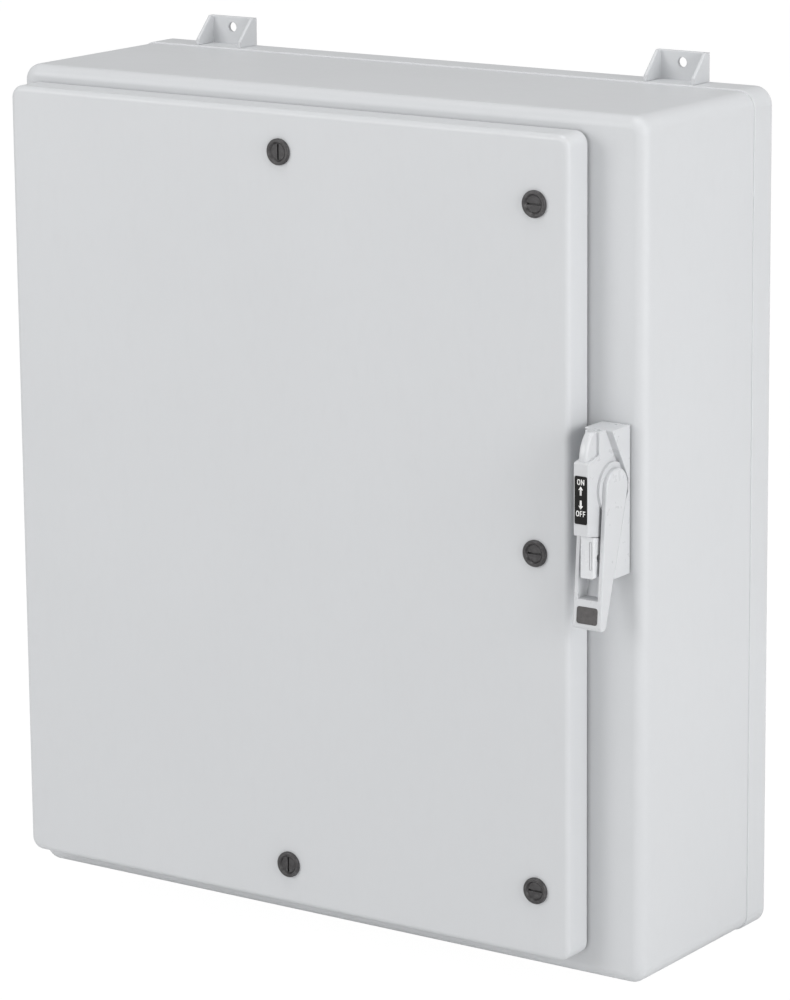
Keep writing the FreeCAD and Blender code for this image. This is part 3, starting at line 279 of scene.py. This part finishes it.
def powder_coat(name, colour):
    """Baked powder paint: orange-peel surface, a few scuffs."""
    paint = Recipe(name, colour, 0.38)
    paint.soft_edges(0.0005)
    paint.tint(paint.remap(paint.noise(6.0, 4.0), 0.45, 0.75, 0.0, 0.7), [c * 0.95 for c in colour])
    paint.polish(paint.noise(25.0, 6.0, 0.7), 0.35, 0.70, 0.32, 0.50)
    paint.bump(paint.noise(420.0, 2.0), 0.00010, 0.35)
    return paint.done()


def sponge_rubber(name, colour):
    """Closed-cell sponge: pitted skin and dusty highlights."""
    foam = Recipe(name, colour, 0.85, specular=0.25)
    foam.tint(foam.remap(foam.noise(90.0, 5.0, 0.7), 0.45, 0.75, 0.0, 0.7), [c * 2.0 for c in colour])
    foam.polish(foam.noise(200.0, 4.0), 0.30, 0.70, 0.75, 0.95)
    foam.bump(foam.cells(900.0), 0.00025, 0.7)
    return foam.done()


def soft_rubber(name, colour, gloss=0.62):
    """Flexible moulded rubber with a fine matt texture."""
    rubber = Recipe(name, colour, gloss, specular=0.35)
    rubber.soft_edges(0.0004)
    rubber.tint(rubber.remap(rubber.noise(150.0, 5.0, 0.7), 0.40, 0.75, 0.0, 0.8), [c * 1.5 for c in colour])
    rubber.polish(rubber.noise(400.0, 4.0), 0.30, 0.70, gloss - 0.08, gloss + 0.12)
    rubber.bump(rubber.noise(1800.0, 2.0), 0.00006, 0.5)
    return rubber.done()


def printed_ink(name, colour):
    """Slightly uneven white marking ink."""
    ink = Recipe(name, colour, 0.5)
    ink.tint(ink.remap(ink.noise(1500.0, 3.0), 0.5, 0.8, 0.0, 0.6), [c * 0.85 for c in colour])
    ink.polish(ink.noise(900.0, 3.0), 0.3, 0.7, 0.42, 0.6)
    return ink.done()


def polycarbonate(name, tint_colour):
    """Clear sheet: see-through face on, with hairline scratches that catch the light."""
    sheet = Recipe(name, tint_colour, 0.06)
    scratches = sheet.noise(400.0, 3.0, 0.6, (1.0, 1.0, 0.03))
    sheet.polish(scratches, 0.40, 0.75, 0.04, 0.22)
    sheet.bump(scratches, 0.00002, 0.3)
    material = sheet.done()
    clear = sheet.add("ShaderNodeBsdfTransparent")
    rim = sheet.add("ShaderNodeLayerWeight")
    rim.inputs["Blend"].default_value = 0.35
    share = sheet.remap(rim.outputs["Facing"], 0.0, 1.0, 0.16, 0.85)
    blend = sheet.add("ShaderNodeMixShader")
    sheet.wire(share, blend.inputs[0])
    sheet.wire(clear.outputs[0], blend.inputs[1])
    sheet.wire(sheet.shader.outputs[0], blend.inputs[2])
    sheet.wire(blend.outputs[0], sheet.tree.nodes["Material Output"].inputs["Surface"])
    return material


GREY = (0.600, 0.611, 0.625)
CHARCOAL = (0.033, 0.031, 0.032)

MATERIALS = {
    "grp_shell": moulded_resin("shell_resin", GREY),
    "grp_door": moulded_resin("door_resin", GREY, gloss=0.37),
    "grp_feet": moulded_resin("feet_resin", [c * 0.98 for c in GREY], gloss=0.42),
    "handle_grey": glossy_moulding("handle_plastic", (0.60, 0.61, 0.625)),
    "slide_white": glossy_moulding("slide_plastic", (0.70, 0.71, 0.725), gloss=0.26),
    "latch_black": textured_moulding("latch_plastic", CHARCOAL, (0.115, 0.112, 0.113), gloss=0.42),
    "legend_black": textured_moulding("legend_plastic", (0.006, 0.006, 0.006), (0.012, 0.012, 0.012),
                                      gloss=0.5, specular=0.22),
    "switch_moulding": textured_moulding("thermoset", (0.025, 0.026, 0.029), (0.06, 0.06, 0.065),
                                         gloss=0.46, grain=700.0),
    "crossbar_red": textured_moulding("insulating_bar", (0.26, 0.050, 0.030), (0.34, 0.11, 0.08),
                                      gloss=0.42, grain=600.0),
    "sheath_black": textured_moulding("sheath_plastic", (0.012, 0.012, 0.013), (0.035, 0.035, 0.037), 0.40),
    "zinc_steel": plated_steel("zinc_plate", (0.62, 0.62, 0.60), (0.48, 0.47, 0.42)),
    "stainless_steel": brushed_metal("stainless", (0.60, 0.59, 0.57), "z"),
    "aluminium": brushed_metal("aluminium_extrusion", (0.78, 0.79, 0.80), "x", 0.30),
    "copper": brushed_metal("copper_strip", (0.72, 0.33, 0.19), "z", 0.26, (0.42, 0.17, 0.10)),
    "panel_white": powder_coat("panel_paint", (0.74, 0.74, 0.72)),
    "gasket_foam": sponge_rubber("sponge", (0.022, 0.022, 0.023)),
    "pad_rubber": soft_rubber("pad_rubber_skin", (0.020, 0.020, 0.021)),
    "insert_charcoal": soft_rubber("grip_rubber", (0.082, 0.078, 0.078), 0.5),
    "clear_shield": polycarbonate("polycarbonate", (0.80, 0.84, 0.87)),
}
MARKING = printed_ink("marking_ink", (0.86, 0.86, 0.85))


def paint_frame():
    """Give every CAD node the material of its slot."""
    for row in frame["record"]["subparts"]:
        node = NODES[row["node"]]
        node.data.materials.clear()
        node.data.materials.append(MATERIALS[row["material_slot"]])


# ---------------------------------------------------------------- mesh kit
def new_piece(name, mesh_builder, slot_name, body, material=None):
    """Turn a bmesh into a piece that rides on a body."""
    mesh = bpy.data.meshes.new(name)
    bmesh.ops.recalc_face_normals(mesh_builder, faces=mesh_builder.faces)
    mesh_builder.to_mesh(mesh)
    mesh_builder.free()
    for polygon in mesh.polygons:
        polygon.use_smooth = True
    piece = bpy.data.objects.new(name, mesh)
    bpy.context.scene.collection.objects.link(piece)
    mesh.materials.append(material or MATERIALS[slot_name])
    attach(piece, body)
    return piece


def tube_rows(builder, rows, closed):
    """Join equal rings of points with faces; closed joins the last ring to the first."""
    rings = [[builder.verts.new(point) for point in row] for row in rows]
    pairs = list(zip(rings, rings[1:]))
    if closed:
        pairs.append((rings[-1], rings[0]))
    count = len(rings[0])
    for first, second in pairs:
        for k in range(count):
            after = (k + 1) % count
            builder.faces.new((first[k], first[after], second[after], second[k]))
    if not closed:
        builder.faces.new(rings[0])
        builder.faces.new(list(reversed(rings[-1])))


def rounded_loop(low, high, radius, step):
    """Points and outward directions round a rectangle with rounded corners, in the X-Z plane."""
    loop = []
    corners = ((high.x, high.z, 0), (low.x, high.z, 90), (low.x, low.z, 180), (high.x, low.z, 270))
    turns = 10
    for index, (x, z, start) in enumerate(corners):
        cx = x - radius * (1 if x == high.x else -1)
        cz = z - radius * (1 if z == high.z else -1)
        for k in range(turns + 1):
            angle = math.radians(start + 90 * k / turns)
            out = Vector((math.cos(angle), 0.0, math.sin(angle)))
            loop.append((Vector((cx, 0.0, cz)) + out * radius, out))
        following = corners[(index + 1) % 4]
        last, out = loop[-1]
        run = abs(following[0] - x) + abs(following[1] - z) - 2 * radius
        side = Vector((-out.z, 0.0, out.x))
        pieces = max(1, round(run / step))
        loop += [(last + side * run * k / pieces, out) for k in range(1, pieces)]
    return loop


# ---------------------------------------------------------------- soft and fine pieces
def sponge_gasket():
    """Door seal: a crowned sponge strip, dented along the middle where the lip presses."""
    low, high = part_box("door_gasket")
    width = 10.0 * MM
    depth = high.y - low.y
    outline = rounded_loop(low, high, 14.0 * MM, 12.0 * MM)
    steps = 14
    rows = []
    for point, out in outline:
        row = []
        for k in range(steps + 1):
            across = k / steps
            swell = math.sin(math.pi * across) ** 0.35
            dent = 0.10 * math.exp(-((across - 0.5) / 0.16) ** 2)
            rise = depth * (0.80 + 0.20 * swell - dent) * (0.0 if k in (0, steps) else 1.0)
            spot = point - out * (width * across) + Vector((0.0, low.y + rise, 0.0))
            wobble = noise.noise(spot * 160.0) * 0.00012
            row.append(spot - Vector((0.0, abs(wobble), 0.0)) if rise else spot)
        rows.append(row)
    builder = bmesh.new()
    tube_rows(builder, rows, closed=True)
    gasket = new_piece("sponge_gasket", builder, "gasket_foam", "door")
    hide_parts("door_gasket")


def housing_pad():
    """Rubber sheet under the handle housing, bulging slightly at its squeezed edge."""
    low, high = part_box("handle_gasket")
    depth = high.y - low.y
    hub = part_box("handle_shaft")
    hub_z = (hub[0].z + hub[1].z) / 2
    middle_x = (low.x + high.x) / 2
    profile = ((1.2, 0.0), (0.45, 0.0), (0.12, 0.2), (0.0, 0.5), (0.12, 0.8), (0.45, 1.0))
    rows = []
    for point, out in rounded_loop(low, high, 2.0 * MM, 3.0 * MM):
        inner_x = min(max(point.x, middle_x - 6.0 * MM), middle_x + 6.0 * MM)
        inner_z = min(max(point.z, hub_z - 24.0 * MM), hub_z + 24.0 * MM)
        row = [point - out * inset * MM + Vector((0.0, low.y + depth * share, 0.0))
               for inset, share in profile]
        row += [Vector((inner_x, y, inner_z)) for y in (high.y, low.y)]
        rows.append(row)
    builder = bmesh.new()
    tube_rows(builder, rows, closed=True)
    bmesh.ops.remove_doubles(builder, verts=builder.verts, dist=1e-6)
    pad = new_piece("housing_pad", builder, "pad_rubber", "enclosure")
    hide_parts("handle_gasket")


def grip_pad():
    """Crowned rubber pad at the lever's tip with fine cross ribs."""
    low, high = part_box("handle_tip_insert")
    outline = rounded_loop(low, high, 2.9 * MM, 0.8 * MM)
    steps = [(0.0, 2.4), (0.0, 0.45), (0.12, 0.2), (0.45, 0.05)]
    steps += [(0.9 + 0.7 * k, 0.0) for k in range(11)]
    middle = (low + high) / 2
    rings = []
    for inset, sunk in steps:
        ring = []
        for point, _ in outline:
            spot = shrunk(point, middle, low, inset * MM)
            rise = spot.z - low.z
            rib = 0.10 * (1.0 - math.cos(2 * math.pi * rise / (1.6 * MM))) if inset > 0.8 else 0.0
            ring.append(Vector((spot.x, low.y + rise * TIP_SLOPE + (sunk + rib) * MM, spot.z)))
        rings.append(ring)
    builder = bmesh.new()
    tube_rows(builder, rings, closed=False)
    pad = new_piece("grip_pad", builder, "insert_charcoal", "handle")
    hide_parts("handle_tip_insert")


def shrunk(point, middle, low, inset):
    """A point of a rectangle's outline moved towards its middle line by an inset."""
    spot = point.copy()
    spot.x = middle.x + (point.x - middle.x) * (1.0 - inset / (middle.x - low.x))
    spot.z = middle.z + (point.z - middle.z) * (1.0 - inset / (middle.z - low.z))
    return spot


def swept_tube(builder, path, ring_of):
    """A closed skin along a path; ring_of(distance) gives (radius, angle) for each point of a ring."""
    side = Vector((1.0, 0.0, 0.0))
    distance = 0.0
    rows = []
    for index, point in enumerate(path):
        ahead = path[min(index + 1, len(path) - 1)] - path[max(index - 1, 0)]
        ahead.normalize()
        side = (side - ahead * side.dot(ahead)).normalized()
        other = ahead.cross(side)
        if index:
            distance += (point - path[index - 1]).length
        rows.append([point + (side * math.cos(a) + other * math.sin(a)) * r for r, a in ring_of(distance)])
    tube_rows(builder, rows, closed=False)


def strand_ring(distance):
    """Cross-section of a seven-strand wire, turning once every 9 mm."""
    twist = 2 * math.pi * distance / (9.0 * MM)
    ring = []
    for k in range(30):
        angle = 2 * math.pi * k / 30
        lobe = abs(math.cos(3 * (angle - twist)))
        ring.append(((0.78 + 0.20 * lobe) * MM, angle))
    return ring


def stranded_wires():
    """The four bare lengths of pull wire at the handle drum and at the switch drum."""
    low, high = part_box("pull_wires")
    builder = bmesh.new()
    for start, end in wire_lines(low.x + WIRE_RADIUS, high.x - WIRE_RADIUS):
        count = round((end - start).length / (0.6 * MM))
        swept_tube(builder, [start.lerp(end, k / count) for k in range(count + 1)], strand_ring)
    wires = new_piece("stranded_wires", builder, "stainless_steel", "enclosure")
    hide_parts("pull_wires")


def wire_lines(drum_x, handle_x):
    """Ends of each bare length."""
    front, back = HANDLE_WIRE_Y
    bottom, top = SWITCH_WIRE_Z
    lines = [(Vector((handle_x, front, z)), Vector((handle_x, back, z))) for z in HANDLE_WIRE_Z]
    lines += [(Vector((drum_x, y, bottom)), Vector((drum_x, y, top))) for y in SWITCH_WIRE_Y]
    return lines


def sheath_ring(distance):
    """Cross-section of a ribbed sheath: shallow grooves every 4 mm."""
    groove = max(0.0, math.cos(2 * math.pi * distance / (4.0 * MM))) ** 6
    radius = (2.96 - 0.45 * groove) * MM
    return [(radius, 2 * math.pi * k / 18) for k in range(18)]


def ribbed_sheaths():
    """Flexible sheaths: back from the flange, a level bend, a run across, a bend down to the switch."""
    low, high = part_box("wire_conduits")
    handle_x = high.x - SHEATH_RADIUS
    drum_x = low.x + SHEATH_RADIUS
    builder = bmesh.new()
    for z, y, turn in zip(HANDLE_WIRE_Z, SWITCH_WIRE_Y, SHEATH_TURNS):
        start = Vector((handle_x, low.y, z))
        swept_tube(builder, sheath_path(start, drum_x, y, turn), sheath_ring)
    sheaths = new_piece("ribbed_sheaths", builder, "sheath_black", "enclosure")
    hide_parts("wire_conduits")


def sheath_path(start, drum_x, y, turn):
    """Points every 0.8 mm along one sheath, from the flange to the switch."""
    z = start.z
    tail_top, tail_bottom = SHEATH_TAIL
    drop = z - tail_top
    across = start.x - turn
    bend_y = y - turn
    bend_x = drum_x + drop
    end = Vector((drum_x, y, tail_bottom))
    path = straight(start, Vector((start.x, bend_y, z)))
    path += [Vector((across + turn * math.cos(a), bend_y + turn * math.sin(a), z)) for a in quarter(turn)]
    path += straight(Vector((across, y, z)), Vector((bend_x, y, z)))
    path += [Vector((bend_x - drop * math.sin(a), y, tail_top + drop * math.cos(a))) for a in quarter(drop)]
    path += straight(Vector((drum_x, y, tail_top)), end)
    path.append(end)
    return path


def straight(start, end):
    """Points along a line, without its far end."""
    count = max(1, round((end - start).length / FINE_STEP))
    return [start.lerp(end, k / count) for k in range(count)]


def quarter(radius):
    """Angles of a quarter turn, without its far end."""
    count = round(radius * math.pi / 2 / FINE_STEP)
    return [math.pi / 2 * k / count for k in range(count)]


def legend_marks():
    """Plain ON and OFF with an arrow each, as thin raised ink on the plate."""
    low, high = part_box("legend_plate")
    centre_x = (low.x + high.x) / 2
    for word, drop in (("ON", 6.0), ("OFF", 38.6)):
        letters(word, Vector((centre_x, low.y, high.z - drop * MM)))
    for name, drop, way in (("arrow_on", 15.0, 1), ("arrow_off", 29.5, -1)):
        arrow(name, centre_x, low.y, high.z - drop * MM, way)


def letters(word, centre):
    """Bold block capitals in a row, centred on a point of the plate."""
    total = sum(LETTER_WIDTHS[c] for c in word) + LETTER_GAP * (len(word) - 1)
    builder = bmesh.new()
    x = centre.x - total / 2
    for character in word:
        corner = Vector((x, centre.y, centre.z - LETTER_HEIGHT / 2))
        {"O": letter_o, "N": letter_n, "F": letter_f}[character](builder, corner, LETTER_WIDTHS[character])
        x += LETTER_WIDTHS[character] + LETTER_GAP
    raise_ink(builder)
    new_piece("letters_" + word.lower(), builder, "legend_black", "enclosure", MARKING)


def flat_outline(builder, corner, points):
    builder.faces.new([builder.verts.new(corner + Vector((x, 0.0, z))) for x, z in points])


def letter_n(builder, corner, width):
    high = LETTER_HEIGHT
    cut = 0.34 * high
    nib = 0.95 * STROKE
    flat_outline(builder, corner, [
        (0, 0), (STROKE, 0), (STROKE, high - cut), (width - nib, 0), (width, 0),
        (width, high), (width - STROKE, high), (width - STROKE, cut), (nib, high), (0, high)])


def letter_f(builder, corner, width):
    high = LETTER_HEIGHT
    arm = 0.48 * high
    flat_outline(builder, corner, [
        (0, 0), (STROKE, 0), (STROKE, arm - STROKE / 2), (width * 0.88, arm - STROKE / 2),
        (width * 0.88, arm + STROKE / 2), (STROKE, arm + STROKE / 2), (STROKE, high - STROKE),
        (width, high - STROKE), (width, high), (0, high)])


def letter_o(builder, corner, width):
    """A narrow ring with straight sides."""
    rings = []
    for inset in (0.0, STROKE):
        half_x = width / 2 - inset
        half_z = LETTER_HEIGHT / 2 - inset
        rings.append([])
        for k in range(32):
            angle = 2 * math.pi * k / 32
            x = width / 2 + half_x * squared(math.cos(angle), 0.80)
            z = LETTER_HEIGHT / 2 + half_z * squared(math.sin(angle), 0.80)
            rings[-1].append(builder.verts.new(corner + Vector((x, 0.0, z))))
    outer, inner = rings
    for k in range(32):
        after = (k + 1) % 32
        builder.faces.new((outer[k], outer[after], inner[after], inner[k]))


def squared(value, power):
    """Push a sine or cosine outwards so that a circle turns into a rounded box."""
    return math.copysign(abs(value) ** power, value)


def raise_ink(builder):
    """Give flat marks their small thickness, towards the viewer."""
    bmesh.ops.remove_doubles(builder, verts=builder.verts, dist=1e-6)
    made = bmesh.ops.extrude_face_region(builder, geom=builder.faces[:])
    fronts = [item for item in made["geom"] if isinstance(item, bmesh.types.BMVert)]
    bmesh.ops.translate(builder, verts=fronts, vec=(0.0, -INK_THICKNESS, 0.0))


def arrow(name, x, y, z, way):
    """A block arrow; way is 1 for up and -1 for down."""
    half_height = 4.7 * MM
    head = 3.8 * MM
    half_head = 2.8 * MM
    half_stem = 1.1 * MM
    outline = [(0, half_height), (-half_head, half_height - head), (-half_stem, half_height - head),
               (-half_stem, -half_height), (half_stem, -half_height), (half_stem, half_height - head),
               (half_head, half_height - head)]
    builder = bmesh.new()
    builder.faces.new([builder.verts.new((x + px, y, z + way * pz)) for px, pz in outline])
    raise_ink(builder)
    new_piece(name, builder, "legend_black", "enclosure", MARKING)


# ---------------------------------------------------------------- studio
def area_light(name, place, aim, size, power, tone=(1.0, 1.0, 1.0)):
    light = bpy.data.lights.new(name, "AREA")
    light.shape = "DISK"
    light.size = size
    light.energy = power
    light.color = tone
    holder = bpy.data.objects.new(name, light)
    bpy.context.scene.collection.objects.link(holder)
    holder.location = place
    holder.rotation_mode = "QUATERNION"
    holder.rotation_quaternion = (aim - place).to_track_quat("-Z", "Y")


def studio():
    """Even sky and three big soft lights."""
    centre = (CAD_LOW + CAD_HIGH) / 2
    area_light("key", centre + Vector((-2.2, -3.6, 1.3)), centre, 2.4, 67.0)
    area_light("side", centre + Vector((3.8, -0.7, 0.9)), centre, 2.2, 77.0)
    area_light("top", centre + Vector((0.2, -0.6, 3.2)), centre, 2.0, 38.0)
    world = bpy.data.worlds.new("studio")
    bpy.context.scene.world = world
    world.use_nodes = True
    world.node_tree.nodes["Background"].inputs[0].default_value = (1.0, 1.0, 1.0, 1.0)
    world.node_tree.nodes["Background"].inputs[1].default_value = 0.45


def floor():
    """Pale sweep that looks almost white to the camera, so only a faint shadow shows."""
    reach = 40.0
    builder = bmesh.new()
    corners = [(-reach, -reach), (reach, -reach), (reach, reach), (-reach, reach)]
    builder.faces.new([builder.verts.new((x, y, CAD_LOW.z - 0.002)) for x, y in corners])
    mesh = bpy.data.meshes.new("floor")
    builder.to_mesh(mesh)
    builder.free()
    sweep = bpy.data.objects.new("floor", mesh)
    bpy.context.scene.collection.objects.link(sweep)
    pale = Recipe("floor_paper", (0.86, 0.86, 0.86), 0.9, specular=0.1)
    pale.bump(pale.noise(30.0, 3.0), 0.0005, 0.1)
    mesh.materials.append(pale.done())
    glow = pale.add("ShaderNodeEmission")
    glow.inputs["Strength"].default_value = 1.04
    seen = pale.add("ShaderNodeLightPath").outputs["Is Camera Ray"]
    blend = pale.add("ShaderNodeMixShader")
    pale.wire(pale.remap(seen, 0.0, 1.0, 0.0, 0.95), blend.inputs[0])
    pale.wire(pale.shader.outputs[0], blend.inputs[1])
    pale.wire(glow.outputs[0], blend.inputs[2])
    pale.wire(blend.outputs[0], pale.tree.nodes["Material Output"].inputs["Surface"])


def camera():
    data = bpy.data.cameras.new("camera")
    data.lens = LENS
    data.sensor_width = SENSOR
    data.shift_x = SHIFT_X
    data.shift_y = SHIFT_Y
    holder = bpy.data.objects.new("camera", data)
    bpy.context.scene.collection.objects.link(holder)
    turn = Matrix.Rotation(math.radians(AZIMUTH), 4, "Z")
    tilt = Matrix.Rotation(math.radians(90.0 - ELEVATION), 4, "X")
    roll = Matrix.Rotation(math.radians(ROLL), 4, "Z")
    holder.matrix_world = Matrix.Translation(CAMERA_PLACE) @ turn @ tilt @ roll
    bpy.context.scene.camera = holder
    bpy.context.scene.view_settings.view_transform = "Standard"


paint_frame()
sponge_gasket()
housing_pad()
grip_pad()
stranded_wires()
ribbed_sheaths()
legend_marks()
floor()
studio()
camera()
